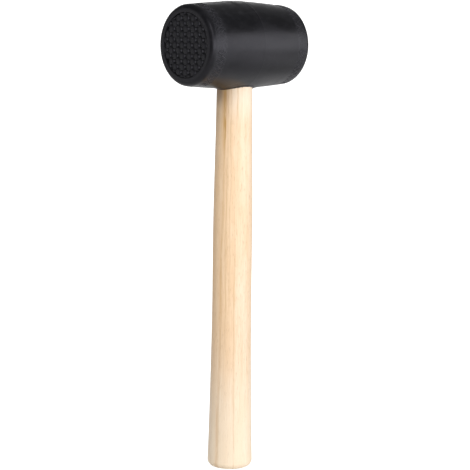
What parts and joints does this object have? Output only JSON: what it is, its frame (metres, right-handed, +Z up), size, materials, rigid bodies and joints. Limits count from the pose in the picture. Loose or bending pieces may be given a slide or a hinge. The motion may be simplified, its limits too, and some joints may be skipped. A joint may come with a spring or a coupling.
{
  "type": "rubber mallet",
  "caption": "Rubber mallet with a barrel-shaped black head, diamond-patterned striking faces and a turned wooden handle.",
  "frame": {"origin": "centre of the flat end of the handle's butt", "axes": "+Z up the handle towards the head, X along the head's own axis between its two striking faces, Y across the head"},
  "size_m": [0.0928, 0.061, 0.3302],
  "materials": {
    "black_rubber": "moulded black rubber with a soft dull sheen",
    "pale_wood": "pale straight-grained hardwood, turned and sanded, with a thin clear matt seal",
    "amber_glue": "cured amber glue, hidden inside the head"
  },
  "bodies": {
    "root": {"rubber_head": "black_rubber", "wooden_handle": "pale_wood", "eye_glue": "amber_glue"}
  },
  "joints": []
}
